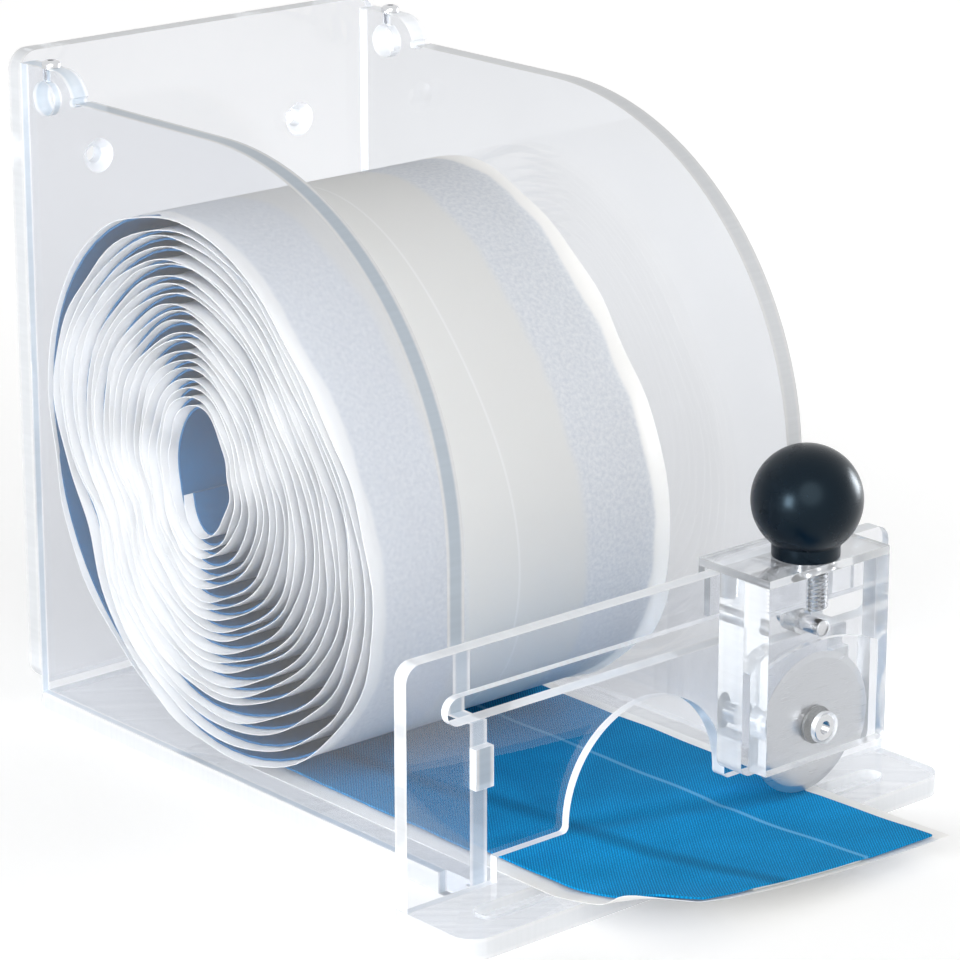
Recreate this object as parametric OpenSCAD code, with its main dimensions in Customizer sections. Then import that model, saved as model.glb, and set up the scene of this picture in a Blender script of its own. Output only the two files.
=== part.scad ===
// Bench dispenser for wide plaster tape: an open tray of clear sheet that holds a loose roll,
// and a front plate with a hand-slid carriage that carries a round blade across the drawn strip.
// All lengths are in millimetres. +X is to the right of the front, +Y to the back, +Z up.

/* [Sheets] */
// Thickness of the base, side and back sheets
sheet_t = 5; // [4:0.5:8]
// Thickness of the front plate
plate_t = 4; // [3:0.5:6]
// Room for cement round each tenon
tenon_fit = 0.1; // [0.05:0.05:0.3]
// Thickness of the cement in the flat joints
cement_t = 0.05; // [0.02:0.01:0.1]

/* [Tape] */
// Width of the fabric
fabric_w = 80; // [60:1:100]
// Width of paper that shows past each edge of the fabric
liner_rim = 4.75; // [2:0.25:8]
// Width of the wound pad under the fabric
pad_w = 34; // [20:1:60]
// Thickness of the fabric
fabric_t = 0.6; // [0.4:0.1:0.8]
// Thickness of the wound pad
pad_t = 0.4; // [0.2:0.1:0.6]
// Thickness of the paper liner
liner_t = 0.25; // [0.15:0.05:0.4]
// Air between the plies, and under the lowest one
ply_gap = 0.1; // [0.05:0.05:0.2]
// Reach of the fabric in front of the plate's rear face
strip_out = 52.5; // [40:0.5:80]
// Reach of the paper past the fabric's front edge
liner_over = 1.2; // [0:0.1:4]
// Distance from the blade to where the strip starts to curl
curl_start = 4.3; // [3:0.1:10]
// Rise of the whole front edge
curl_low = 1; // [0:0.1:4]
// Further rise of the front left corner
curl_high = 7.3; // [0:0.1:12]

/* [Roll] */
// Number of turns
turns = 21; // [12:1:24]
// Mean radius of the outermost turn
roll_r = 63.4; // [58:0.2:72]
// Height of the oval that the roll has sagged into
sag = 5.1; // [0:0.1:6]
// Direction of the oval's long axis, from the back upwards
sag_a = 52; // [0:1:90]
// Height of the three lobes on the oval
lobe = 1.9; // [0:0.1:2.5]
// Direction of one lobe, from the back upwards
lobe_a = 81; // [60:1:100]
// Half depth of the open core
core_y = 9.3; // [8:0.1:12]
// Half height of the open core
core_z = 15; // [9:0.5:18]
// Height of the core above the roll's middle
core_up = 6.3; // [0:0.1:8]
// Place of the roll across the tray
roll_x = -4.3; // [-4.6:0.1:4.6]
// Direction in which the strip leaves the roll
leave_a = 262; // [255:1:270]

/* [Tray] */
// Room between the paper's edge and each side panel
bay_clear = 5.25; // [3:0.25:12]
// Room between the roll and the front plate
front_room = 35.4; // [20:0.2:50]
// Room between the roll and the back panel
back_clear = 0.5; // [0.3:0.1:3]
// Height of the side panels above the base
side_h = 153.5; // [140:0.5:180]
// Radius of the side panels' front top corner
side_arc_r = 82; // [40:1:90]
// Distance of the side panels' upper front edge from the front plate
setback = 5.7; // [4.5:0.1:10]
// Length of the ear at the top of each side panel
ear_l = 21; // [18:0.5:30]
// Height of the ear above the side panel
ear_rise = 6.5; // [4:0.5:7.5]
// Radius of the ear's front corner
ear_r = 8; // [8:0.5:10]
// Radius of the relief at the foot of the ear
ear_relief_r = 1.1; // [0.8:0.1:2]
// Height of the back panel's top above the base
back_h = 162.5; // [150:0.5:190]
// Gap between the base's top and the back panel
back_gap = 2; // [0:0.5:4]
// Corner radius of the back panel
back_corner_r = 5; // [2:0.5:10]
// Distance between the wall holes
hole_spacing = 60; // [40:1:80]
// Diameter of the wall holes
hole_d = 4.5; // [4:0.1:6]
// Diameter of the wall holes' countersinks
hole_sink_d = 8.5; // [7:0.1:11]
// Distance of the wall holes below the back panel's top
hole_drop = 28.5; // [15:0.5:40]

/* [Front plate] */
// Reach of the front plate past each side panel
wing = 20; // [12:0.5:30]
// Radius of the plate's top corners
plate_corner_r = 4; // [2:0.5:8]
// Height of the gap that the strip runs through
tape_gap = 6.2; // [4:0.1:10]
// Distance of each leg's inner edge inside the bay
leg_inset = 1; // [0.5:0.5:2]
// Radius of the finger arch
arch_r = 24.5; // [18:0.5:28]
// Place of the finger arch across the plate
arch_x = -3; // [-15:0.5:15]
// Straight height at each foot of the arch
arch_foot = 1.5; // [1:0.1:4]
// Height of the bar between the arch and the slot
lower_bar = 7.8; // [5:0.1:14]
// Height of the guide slot
slot_h = 6.6; // [5.5:0.1:9]
// Height of the bar above the slot
upper_bar = 10.4; // [7:0.1:16]
// Distance of the slot's ends from the plate's ends
slot_end = 11.75; // [8:0.25:20]
// Height of the side panels' tenons in the plate
tenon_h = 9.5; // [6:0.5:12]
// Distance of those tenons below the slot
tenon_drop = 7; // [3:0.5:10]

/* [Base] */
// Depth of the shelf in front of the plate
shelf_d = 20.8; // [19:0.2:40]
// Radius of the shelf's front corners
shelf_corner_r = 6; // [2:0.5:10]
// Length of the side panels' tenons in the base
foot_l = 9.2; // [6:0.2:16]
// Distance of those tenons behind the plate
foot_y = 1.5; // [1:0.1:6]
// Width of the cutting groove
groove_w = 6.4; // [3:0.1:9]
// Depth of the cutting groove
groove_depth = 2.5; // [1:0.1:3]

/* [Cutter] */
// Place of the carriage across the plate
cutter_x = 38; // [-50:1:50]
// Width of the carriage
cutter_w = 39.2; // [37:0.2:50]
// Thickness of the body and of the cover
layer_t = 8; // [7:0.5:10]
// Running gap between the plate and the carriage
run_gap = 0.5; // [0.3:0.1:1]
// Height of the body's lower edge above the base
body_bottom = 9.6; // [6:0.1:12]
// Radius of the body's lower corners
body_corner_r = 3; // [1:0.5:5]
// Height of the cover's lower edge above the base
cover_bottom = 12.2; // [9:0.1:14]
// Gap between the plate's top edge and the saddle
saddle_gap = 0.6; // [0.3:0.1:1]
// Thickness of the saddle's top
saddle_t = 2; // [1.5:0.1:4]
// Thickness of the saddle's rear lip
lip_t = 2; // [1.5:0.1:3]
// Gap between the rear lip and the guide pin under it
lip_clear = 0.7; // [0.4:0.1:2]
// Depth of the blade pocket in the cover
pocket_depth = 2.4; // [2:0.1:3]
// Height of the pocket's crown above the blade
pocket_over = 3.2; // [1.5:0.1:3.6]
// Radius of the pocket's arched top
pocket_r = 46; // [38:1:70]
// Diameter of the guide pin
pin_d = 4; // [3:0.1:4.4]
// Depth of the guide pin in the cover
pin_in = 4.5; // [3:0.1:5]
// Gap between the guide bush and the slot
bush_gap = 0.3; // [0.2:0.05:0.4]
// Standing-out of the guide bush past each face of the plate
bush_over = 0.2; // [0:0.05:0.25]

/* [Blade] */
// Diameter of the blade
blade_d = 35; // [30:0.5:37]
// Thickness of the blade
blade_t = 0.6; // [0.4:0.05:0.8]
// Width of the ground edge
bevel_w = 1.6; // [0.8:0.1:3]
// Thickness left at the cutting edge
edge_t = 0.1; // [0.05:0.01:0.2]
// Gap between the blade and the strip
blade_clear = 0.3; // [0.2:0.1:1]
// Diameter of the axle
axle_d = 5; // [4:0.1:5.4]
// Difference between the axle and the blade's bore
axle_fit = 0.1; // [0.04:0.02:0.2]
// Depth of the axle in the body
axle_in = 4.5; // [3:0.1:6]
// Diameter of the axle's head
axle_head_d = 7; // [6.4:0.1:8]
// Thickness of the axle's head
axle_head_t = 2.2; // [1.5:0.1:2.4]
// Wall of the cover between the head and the pocket
axle_wall = 3; // [2:0.1:3.2]
// Diameter of the blade's washers
washer_d = 9; // [7:0.5:12]
// Gap on each side of the blade
washer_gap = 0.15; // [0.1:0.05:0.2]

/* [Knob] */
// Diameter of the ball
ball_d = 26; // [20:0.5:32]
// Height of the ball's middle above the foot of its neck
ball_base = 13.4; // [11:0.1:16]
// Diameter of the ball's neck
neck_d = 16; // [13:0.5:18]
// Diameter of the stud
stud_d = 6; // [5:0.5:6.5]
// Depth of the stud in the carriage
stud_in = 10; // [6:0.5:10.5]
// Diameter of the washer let into the saddle round the stud
seat_d = 11; // [9:0.5:14]
// Diameter of the brass insert in the ball
insert_d = 9; // [8:0.5:11]
// Length of the brass insert
insert_l = 12; // [8:0.5:14]

/* [Ear screws] */
// Diameter of the rod hole through each ear
rod_d = 8.4; // [7:0.1:9]
// Depth of the rod hole's middle below the ear's top
rod_drop = 7.3; // [6.5:0.1:8.5]
// Diameter of the ear screws
screw_d = 2.5; // [2:0.1:3]
// Gap between an ear screw's tip and the rod hole, as left before a rod is clamped
screw_clear = 0.3; // [0.1:0.1:1]
// Diameter of the ear screws' heads
screw_head_d = 4.5; // [4:0.1:6]
// Thickness of the ear screws' heads
screw_head_t = 1.7; // [1:0.1:2.5]
// Distance of the ear screws from the back panel
screw_y = 9.3; // [8:0.1:11]

/* [Hidden] */
$fn = 96;
// Overshoot of a cut past the face that it opens
past = 1;

// Heights of the plies over the base, from the paper up to the fabric
liner_z = ply_gap;
pad_z = liner_z + liner_t + ply_gap;
fabric_z = pad_z + pad_t + ply_gap;
strip_top = fabric_z + fabric_t;
liner_w = fabric_w + 2 * liner_rim;

// Winding: steps per turn, and the paper's distance outside the fabric's middle
steps = 24;
wind_n = turns * steps;
paper_off = fabric_z + fabric_t / 2 - liner_z - liner_t / 2;
web_t = strip_top - liner_z;

// The turns grow from an upright oval core to the sagged outline
function core_r(a) = 1 / sqrt(pow(cos(a) / core_y, 2) + pow(sin(a) / core_z, 2));
function outer_r(a) = roll_r + sag * cos(2 * (a - sag_a)) + lobe * cos(3 * (a - lobe_a));
function wind_a(k) = leave_a + 360 * (wind_n - k) / steps;
function wind_r(k) = core_r(wind_a(k)) * (1 - k / wind_n) + outer_r(wind_a(k)) * k / wind_n;
function wind(k) = [
    wind_r(k) * cos(wind_a(k)),
    wind_r(k) * sin(wind_a(k)) + core_up * (1 - k / wind_n)
];
function wind_along(k) = wind(min(k + 1, wind_n)) - wind(max(k - 1, 0));
function wind_out(k) = [-wind_along(k)[1], wind_along(k)[0]] / norm(wind_along(k));
function ply(off) = [for (k = [0 : wind_n]) wind(k) + wind_out(k) * off];
function reversed(list) = [for (i = [len(list) - 1 : -1 : 0]) list[i]];
function ply_outline(off, t) = concat(ply(off + t / 2), reversed(ply(off - t / 2)));

// Reach of the roll's outline from its middle
rim = ply(paper_off + liner_t / 2);
rim_back = max([for (p = rim) p[0]]);
rim_front = -min([for (p = rim) p[0]]);
wind_low = min([for (p = ply(0)) p[1]]);

// Least gap between the outside of one turn and the inside of the next
turn_gap = min([for (k = [0 : wind_n - steps], j = [-2 : 2])
    let (m = min(k + steps + j, wind_n))
    norm(wind(m) - wind_out(m) * fabric_t / 2 - rim[k])]);
echo(least_gap_between_turns = turn_gap);

// Tray: depth from the plate's rear face to the back panel, and widths
bay_d = front_room + rim_front + rim_back + back_clear;
bay_w = liner_w + 2 * bay_clear;
tray_w = bay_w + 2 * sheet_t;
plate_w = tray_w + 2 * wing;
side_x = bay_w / 2 + sheet_t / 2;
roll_y = bay_d - back_clear - rim_back;
roll_z = fabric_z + fabric_t / 2 - wind_low;
strip_back = roll_y + wind(wind_n)[0];

// Front plate: heights above the base
arch_z = tape_gap + arch_foot;
slot_low = arch_z + arch_r + lower_bar;
slot_z = slot_low + slot_h / 2;
plate_h = slot_low + slot_h + upper_bar;
slot_l = plate_w - 2 * slot_end;
tenon_z = slot_low - tenon_drop - tenon_h;
// The side panels step back just under the slot
setback_drop = 1.5;
setback_z = slot_low - setback_drop;

// Cutter: faces from back to front, and heights above the base
lip_back = run_gap + lip_t;
body_back = -plate_t - run_gap;
cover_back = body_back - layer_t;
cover_front = cover_back - layer_t;
block_top = plate_h + saddle_gap;
saddle_z = block_top + saddle_t;
axle_z = strip_top + blade_clear + blade_d / 2;
pocket_top = axle_z + blade_d / 2 + pocket_over;
blade_y = cover_back - pocket_depth / 2;
washer_t = pocket_depth / 2 - blade_t / 2 - washer_gap;
bush_d = slot_h - 2 * bush_gap;
lip_low = slot_z + pin_d / 2 + lip_clear;
// Room round the axle's head in its counterbore
head_room = 0.3;
head_seat = cover_back - pocket_depth - axle_wall;

// Knob: the ball's neck stands on the saddle
ball_z = saddle_z + ball_base;
// The insert is closed at its top, and the stud fills its bore
insert_end = 2;
stud_up = insert_l - insert_end;

// Ears
ear_z = side_h + ear_rise;
ear_screw_y = bay_d - screw_y;

// The part stands on its base, centred on its own bounds from the paper's edge to the back face
plate_y = (strip_out + liner_over - bay_d - sheet_t) / 2;

clear_sheet = [0.86, 0.9, 0.93, 0.4];
frosted_clear = [0.9, 0.93, 0.95, 0.6];
steel = [0.72, 0.74, 0.76];
blue_fabric = [0.08, 0.45, 0.69];
white_paper = [0.93, 0.93, 0.92];

// Places its children: the origin becomes the middle of the plate's rear face, on the base
module tray() {
    translate([0, plate_y, sheet_t]) children();
}

// Stands a front-view outline upright, from the rear face back_y forward over t
module upright(back_y, t) {
    translate([0, back_y, 0]) rotate([90, 0, 0]) linear_extrude(t) children();
}

// Stands a side-view outline upright, centred on x
module sideways(x, t) {
    translate([x, 0, 0]) rotate([90, 0, 90]) linear_extrude(t, center = true) children();
}

// Round bar along Y, from back_y forward over l
module bar_y(d, back_y, l) {
    translate([0, back_y, 0]) rotate([90, 0, 0]) cylinder(d = d, h = l);
}

// What a fillet takes off the corner at the origin
module corner_cut(r) {
    difference() {
        translate([-past, -past]) square(r + past);
        translate([r, r]) circle(r);
        translate([r, -2 * past]) square([r, r + 3 * past]);
        translate([-2 * past, r]) square([r + 3 * past, r]);
    }
}

// Slot outline with round ends, centred
module slot_outline(l, w) {
    square([l - w, w], center = true);
    for (s = [-1, 1]) translate([s * (l - w) / 2, 0]) circle(d = w);
}

module base_outline() {
    difference() {
        union() {
            translate([-tray_w / 2, -past]) square([tray_w, bay_d + past]);
            translate([-plate_w / 2, -plate_t - shelf_d]) square([plate_w, plate_t + shelf_d]);
        }
        for (s = [0, 1]) mirror([s, 0])
            translate([-plate_w / 2, -plate_t - shelf_d]) corner_cut(shelf_corner_r);
        for (s = [-1, 1])
            translate([s * side_x - sheet_t / 2 - tenon_fit, foot_y - tenon_fit])
                square([sheet_t + 2 * tenon_fit, foot_l + 2 * tenon_fit]);
    }
}

module base_plate() {
    color(clear_sheet) tray() difference() {
        translate([0, 0, -sheet_t]) linear_extrude(sheet_t) base_outline();
        translate([0, blade_y, -groove_depth])
            linear_extrude(groove_depth + past) slot_outline(slot_l, groove_w);
    }
}

module back_outline() {
    difference() {
        translate([-tray_w / 2, back_gap]) square([tray_w, back_h - back_gap]);
        for (s = [0, 1]) mirror([s, 0]) {
            translate([-tray_w / 2, back_gap]) corner_cut(back_corner_r);
            translate([-tray_w / 2, back_h]) mirror([0, 1]) corner_cut(back_corner_r);
        }
    }
}

module back_panel() {
    sink = (hole_sink_d - hole_d) / 2;
    color(clear_sheet) tray() difference() {
        upright(bay_d + sheet_t, sheet_t) back_outline();
        for (s = [-1, 1]) translate([s * hole_spacing / 2, bay_d, back_h - hole_drop]) {
            bar_y(hole_d, sheet_t + past, sheet_t + 2 * past);
            rotate([-90, 0, 0]) cylinder(d1 = hole_sink_d, d2 = hole_d, h = sink);
        }
    }
}

module side_outline() {
    ear_y = bay_d - ear_l + ear_r;
    back_edge = bay_d - cement_t;
    difference() {
        union() {
            translate([cement_t, cement_t]) square([back_edge - cement_t, side_h - cement_t]);
            translate([ear_y, side_h - past]) square([back_edge - ear_y, ear_rise + past]);
            translate([ear_y, ear_z - ear_r]) circle(ear_r);
        }
        translate([-past, setback_z]) square([setback + past, side_h]);
        translate([setback, side_h]) mirror([0, 1]) corner_cut(side_arc_r);
        translate([bay_d - ear_l, side_h]) circle(ear_relief_r);
        translate([ear_screw_y, ear_z - rod_drop]) circle(d = rod_d);
    }
    translate([foot_y, -sheet_t]) square([foot_l, sheet_t + cement_t]);
    translate([-plate_t, tenon_z]) square([plate_t + cement_t, tenon_h]);
}

// One side panel, centred on x, with the screw's bore from the ear's top to the rod hole
module side_panel(x) {
    color(clear_sheet) tray() difference() {
        sideways(x, sheet_t) side_outline();
        translate([x, ear_screw_y, ear_z - rod_drop]) cylinder(d = screw_d, h = rod_drop + past);
    }
}

module side_panel_left() {
    side_panel(-side_x);
}

module side_panel_right() {
    side_panel(side_x);
}

// Gap for the strip and the finger arch over it
module plate_opening() {
    gap_w = bay_w - 2 * leg_inset;
    translate([-gap_w / 2, -past]) square([gap_w, tape_gap + past]);
    translate([arch_x, 0]) {
        translate([0, arch_z]) circle(arch_r);
        translate([-arch_r, 0]) square([2 * arch_r, arch_z]);
        // Eased corners at the arch's feet
        for (s = [0, 1]) mirror([s, 0])
            translate([-arch_r, tape_gap]) mirror([1, 0]) corner_cut(arch_foot);
    }
}

module front_plate() {
    color(clear_sheet) tray() upright(0, plate_t) difference() {
        translate([-plate_w / 2, cement_t]) square([plate_w, plate_h - cement_t]);
        for (s = [0, 1]) mirror([s, 0])
            translate([-plate_w / 2, plate_h]) mirror([0, 1]) corner_cut(plate_corner_r);
        translate([0, slot_z]) slot_outline(slot_l, slot_h);
        plate_opening();
        for (s = [-1, 1])
            translate([s * side_x - sheet_t / 2 - tenon_fit, tenon_z - tenon_fit])
                square([sheet_t + 2 * tenon_fit, tenon_h + 2 * tenon_fit]);
    }
}

// The ear screws stand with their heads on the ears and their tips just short of the rod holes
module ear_screws() {
    screw_l = rod_drop - rod_d / 2 - screw_clear;
    color(steel) tray() for (s = [-1, 1]) translate([s * side_x, ear_screw_y, ear_z]) {
        translate([0, 0, -screw_l]) cylinder(d = screw_d, h = screw_l);
        cylinder(d = screw_head_d, h = screw_head_t);
    }
}

// One ply of the winding, w wide, centred off outside the fabric's middle
module winding(w, off, t) {
    translate([roll_x, roll_y, roll_z]) sideways(0, w) polygon(ply_outline(off, t));
}

module fabric_roll() {
    color(blue_fabric) tray() winding(fabric_w, 0, fabric_t);
}

module liner_roll() {
    color(white_paper) tray() winding(liner_w, paper_off, liner_t);
}

// The drawn strip curls up in front of the blade, most at its front left corner
curl_y = blade_y - curl_start;
curl_l = strip_out + curl_y;
function curl(x, y) = y >= curl_y ? 0
    : (curl_low + curl_high * pow(0.5 - x / liner_w, 2)) * pow((curl_y - y) / curl_l, 2);

// One ply of the strip: a thin sheet w wide at height z, from the roll to front_y
module strip_ply(w, z, t, front_y) {
    columns = 10;
    rows = 10;
    xs = [for (i = [0 : columns]) w * (i / columns - 0.5)];
    ys = concat([strip_back - ply_gap],
        [for (j = [0 : rows - 1]) curl_y + (front_y - curl_y) * j / (rows - 1)]);
    row = columns + 1;
    layer = row * len(ys);
    sheet = [for (h = [z, z + t], y = ys, x = xs) [x, y, h + curl(x, y)]];
    flat = [for (j = [0 : len(ys) - 2], i = [0 : columns - 1]) let (p = j * row + i)
        each [[p, p + 1, p + row], [p + 1, p + row + 1, p + row]]];
    loop = concat(
        [for (i = [0 : columns]) i],
        [for (j = [1 : len(ys) - 1]) j * row + columns],
        [for (i = [columns - 1 : -1 : 0]) layer - row + i],
        [for (j = [len(ys) - 2 : -1 : 1]) j * row]);
    wall = [for (i = [0 : len(loop) - 1])
        let (p = loop[i], q = loop[(i + 1) % len(loop)])
        each [[p, q, q + layer], [p, q + layer, p + layer]]];
    top = [for (f = flat) [f[0] + layer, f[1] + layer, f[2] + layer]];
    polyhedron(sheet, concat([for (f = flat) [f[2], f[1], f[0]]], top, wall));
}

module fabric_strip() {
    color(blue_fabric) tray() strip_ply(fabric_w, fabric_z, fabric_t, -strip_out);
}

module pad_strip() {
    color(white_paper) tray() strip_ply(pad_w, pad_z, pad_t, -strip_out);
}

module liner_strip() {
    color(white_paper) tray() strip_ply(liner_w, liner_z, liner_t, -strip_out - liner_over);
}

// Places the carriage's pieces at its place along the plate
module carriage() {
    tray() translate([cutter_x, 0, 0]) children();
}

// Hole for the knob's stud, on the joint between body and cover
module stud_hole() {
    translate([0, cover_back, block_top - stud_in]) cylinder(d = stud_d, h = stud_in + past);
}

module cutter_body() {
    color(clear_sheet) carriage() difference() {
        upright(body_back, layer_t) difference() {
            translate([-cutter_w / 2, body_bottom]) square([cutter_w, block_top - body_bottom]);
            for (s = [0, 1]) mirror([s, 0])
                translate([-cutter_w / 2, body_bottom]) corner_cut(body_corner_r);
        }
        translate([0, 0, slot_z]) bar_y(pin_d, body_back + past, layer_t + 2 * past);
        translate([0, 0, axle_z]) bar_y(axle_d, cover_back + axle_in, axle_in + past);
        stud_hole();
    }
}

// Low arched pocket that is open below and at both sides
module pocket_outline() {
    intersection() {
        translate([0, pocket_top - pocket_r]) circle(pocket_r);
        translate([-cutter_w / 2 - past, cover_bottom - past])
            square([cutter_w + 2 * past, pocket_top]);
    }
}

module cutter_cover() {
    head_hole_d = axle_head_d + 2 * head_room;
    color(clear_sheet) carriage() difference() {
        upright(cover_back - cement_t, layer_t - cement_t)
            translate([-cutter_w / 2, cover_bottom]) square([cutter_w, block_top - cover_bottom]);
        upright(cover_back + past, pocket_depth + past) pocket_outline();
        translate([0, 0, slot_z]) bar_y(pin_d, cover_back + past, pin_in + past);
        translate([0, 0, axle_z]) {
            bar_y(axle_d, cover_back, layer_t + past);
            bar_y(head_hole_d, head_seat, layer_t);
        }
        stud_hole();
    }
}

module saddle_top() {
    color(clear_sheet) carriage() difference() {
        translate([-cutter_w / 2, cover_front, block_top + cement_t])
            cube([cutter_w, lip_back - cover_front, saddle_t - cement_t]);
        translate([0, cover_back, block_top - past]) cylinder(d = seat_d, h = saddle_t + 2 * past);
    }
}

module saddle_lip() {
    color(clear_sheet) carriage() translate([-cutter_w / 2, run_gap, lip_low])
        cube([cutter_w, lip_t, block_top - lip_low]);
}

module guide_pin() {
    color(steel) carriage() translate([0, 0, slot_z])
        bar_y(pin_d, lip_back, lip_back - cover_back + pin_in);
}

module guide_bush() {
    color(frosted_clear) carriage() translate([0, 0, slot_z]) difference() {
        bar_y(bush_d, bush_over, plate_t + 2 * bush_over);
        bar_y(pin_d, bush_over + past, plate_t + 2 * bush_over + 2 * past);
    }
}

module blade_axle() {
    color(steel) carriage() translate([0, 0, axle_z]) {
        bar_y(axle_d, cover_back + axle_in, cover_back + axle_in - head_seat);
        bar_y(axle_head_d, head_seat, axle_head_t);
    }
}

module blade_washers() {
    color(frosted_clear) carriage() translate([0, 0, axle_z])
        for (back = [cover_back, blade_y - blade_t / 2 - washer_gap]) difference() {
            bar_y(washer_d, back, washer_t);
            bar_y(axle_d, back + past, washer_t + 2 * past);
        }
}

// Flat disc that is ground to an edge on both faces
module blade() {
    bore_r = (axle_d + axle_fit) / 2;
    flat_r = blade_d / 2 - bevel_w;
    color(steel) carriage() translate([0, blade_y, axle_z]) rotate([90, 0, 0]) rotate_extrude()
        polygon([
            [bore_r, -blade_t / 2],
            [flat_r, -blade_t / 2],
            [blade_d / 2, -edge_t / 2],
            [blade_d / 2, edge_t / 2],
            [flat_r, blade_t / 2],
            [bore_r, blade_t / 2]
        ]);
}

// Places the knob's pieces over the joint between body and cover
module knob() {
    carriage() translate([0, cover_back, 0]) children();
}

module knob_stud() {
    stud_low = block_top - stud_in;
    color(steel) knob() translate([0, 0, stud_low])
        cylinder(d = stud_d, h = ball_z - ball_base + stud_up - stud_low);
}

module knob_washer() {
    color(steel) knob() translate([0, 0, block_top]) difference() {
        cylinder(d = seat_d, h = saddle_t);
        translate([0, 0, -past]) cylinder(d = stud_d, h = saddle_t + 2 * past);
    }
}

module knob_insert() {
    color([0.78, 0.63, 0.3]) knob() translate([0, 0, ball_z - ball_base]) difference() {
        cylinder(d = insert_d, h = insert_l);
        translate([0, 0, -past]) cylinder(d = stud_d, h = stud_up + past);
    }
}

module ball_knob() {
    color([0.07, 0.07, 0.08]) knob() translate([0, 0, ball_z]) difference() {
        union() {
            sphere(d = ball_d);
            translate([0, 0, -ball_base]) cylinder(d = neck_d, h = ball_base);
        }
        translate([0, 0, -ball_base - past]) cylinder(d = insert_d, h = insert_l + past);
    }
}

base_plate();
back_panel();
side_panel_left();
side_panel_right();
front_plate();
ear_screws();
fabric_roll();
liner_roll();
fabric_strip();
pad_strip();
liner_strip();
cutter_body();
cutter_cover();
saddle_top();
saddle_lip();
guide_pin();
guide_bush();
blade_axle();
blade_washers();
blade();
knob_stud();
knob_washer();
knob_insert();
ball_knob();
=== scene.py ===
# %% [markdown]
# # A tray for plaster tape, with a blade that slides across it
# The dispenser is an open tray of clear sheet. A loose roll of blue plaster tape lies in it,
# the tape runs out under the front plate, and a small carriage pulls a round blade across it.
# The CAD model gives every size and place, so this lesson starts by loading it as a fixed frame
# and then works on what CAD leaves plain: clear plastic, cloth, paper, steel and light.

# %% Load the frame
import math

import bmesh
import bpy
import numpy as np
from mathutils import Matrix, Vector


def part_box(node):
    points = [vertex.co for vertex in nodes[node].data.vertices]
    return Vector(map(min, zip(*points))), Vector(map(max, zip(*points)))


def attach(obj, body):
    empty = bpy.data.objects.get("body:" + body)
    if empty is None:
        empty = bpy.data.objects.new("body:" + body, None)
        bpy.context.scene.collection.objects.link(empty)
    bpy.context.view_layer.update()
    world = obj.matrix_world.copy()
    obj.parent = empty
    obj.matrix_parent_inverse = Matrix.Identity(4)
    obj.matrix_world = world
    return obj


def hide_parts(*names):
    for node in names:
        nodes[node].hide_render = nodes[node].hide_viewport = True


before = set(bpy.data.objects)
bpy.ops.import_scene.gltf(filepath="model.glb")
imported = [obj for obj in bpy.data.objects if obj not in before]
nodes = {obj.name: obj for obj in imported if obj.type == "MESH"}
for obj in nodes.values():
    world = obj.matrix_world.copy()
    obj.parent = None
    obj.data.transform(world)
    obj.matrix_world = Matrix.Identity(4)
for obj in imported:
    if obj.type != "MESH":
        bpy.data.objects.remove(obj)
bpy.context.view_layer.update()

MM = 0.001

# %% [markdown]
# Every part of the tray is measured from one point: the middle of the front plate's rear face,
# at the height of the base's top. It is read from two CAD nodes, so that nothing has to be
# fitted by eye. Lengths in this lesson are in millimetres until they go into a mesh.

# %% The tray's own zero point
plate_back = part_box("front_plate")[1].y
base_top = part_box("base_plate")[1].z
tray_zero = Vector((0, plate_back, base_top))


def at(x, y, z):
    """A place in the tray, given in millimetres from its zero point, as metres in the frame."""
    return tray_zero + Vector((x, y, z)) * MM


print("zero point in mm:", [round(v / MM, 2) for v in tray_zero])

# %% [markdown]
# ## Camera
# The picture was taken from the front left, a little above the roll, with a long lens that keeps
# the verticals upright. The angles and distance were worked out from the straight edges of the
# tray. The camera's three axes follow from the two angles, and its place from the distance.

# %% Camera
TURN_DEG, LIFT_DEG = -41.239, 17.617
EYE_RIGHT, EYE_UP, EYE_BACK = -37.934, 78.709, 916.543
FOCAL_PX, PICTURE_PX, SENSOR_MM = 3980.27, 960, 36

turn, lift = math.radians(TURN_DEG), math.radians(LIFT_DEG)
view_right = Vector((math.cos(turn), math.sin(turn), 0))
view_back = Vector((math.sin(turn) * math.cos(lift), -math.cos(turn) * math.cos(lift), math.sin(lift)))
view_up = view_back.cross(view_right)
eye = EYE_RIGHT * view_right + EYE_UP * view_up + EYE_BACK * view_back

bpy.ops.object.select_all(action="DESELECT")
bpy.ops.object.camera_add()
camera = bpy.context.object
camera.name = "camera"
camera.data.sensor_width = SENSOR_MM
camera.data.lens = SENSOR_MM * FOCAL_PX / PICTURE_PX
camera.data.clip_start, camera.data.clip_end = 0.01, 20
axes = Matrix((view_right, view_up, view_back)).transposed().to_4x4()
camera.matrix_world = Matrix.Translation(at(*eye)) @ axes
bpy.context.scene.camera = camera
print("camera at", [round(v, 3) for v in camera.location], "lens", round(camera.data.lens, 1))

# %% [markdown]
# ## Light, world and floor
# Clear plastic shows what lies behind it, so the room comes before the materials. A white tent is
# plain and even: the world is white where it is looked at, also through plastic and in steel, and
# dimmer where it lights the object. A wide sun adds direction, and two soft boxes light the roll's
# faces and give the black ball something to mirror. The floor is a white sheet that keeps the
# shadow. It glows a little where it is looked at, more so far from the lamps, to stay evenly white.

# %% World
scene = bpy.context.scene
scene.view_settings.view_transform = "Standard"
world = bpy.data.worlds.new("white tent")
scene.world = world
world.use_nodes = True
sky = world.node_tree.nodes["Background"]
sky.inputs["Color"].default_value = (1, 1, 1, 1)


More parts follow.
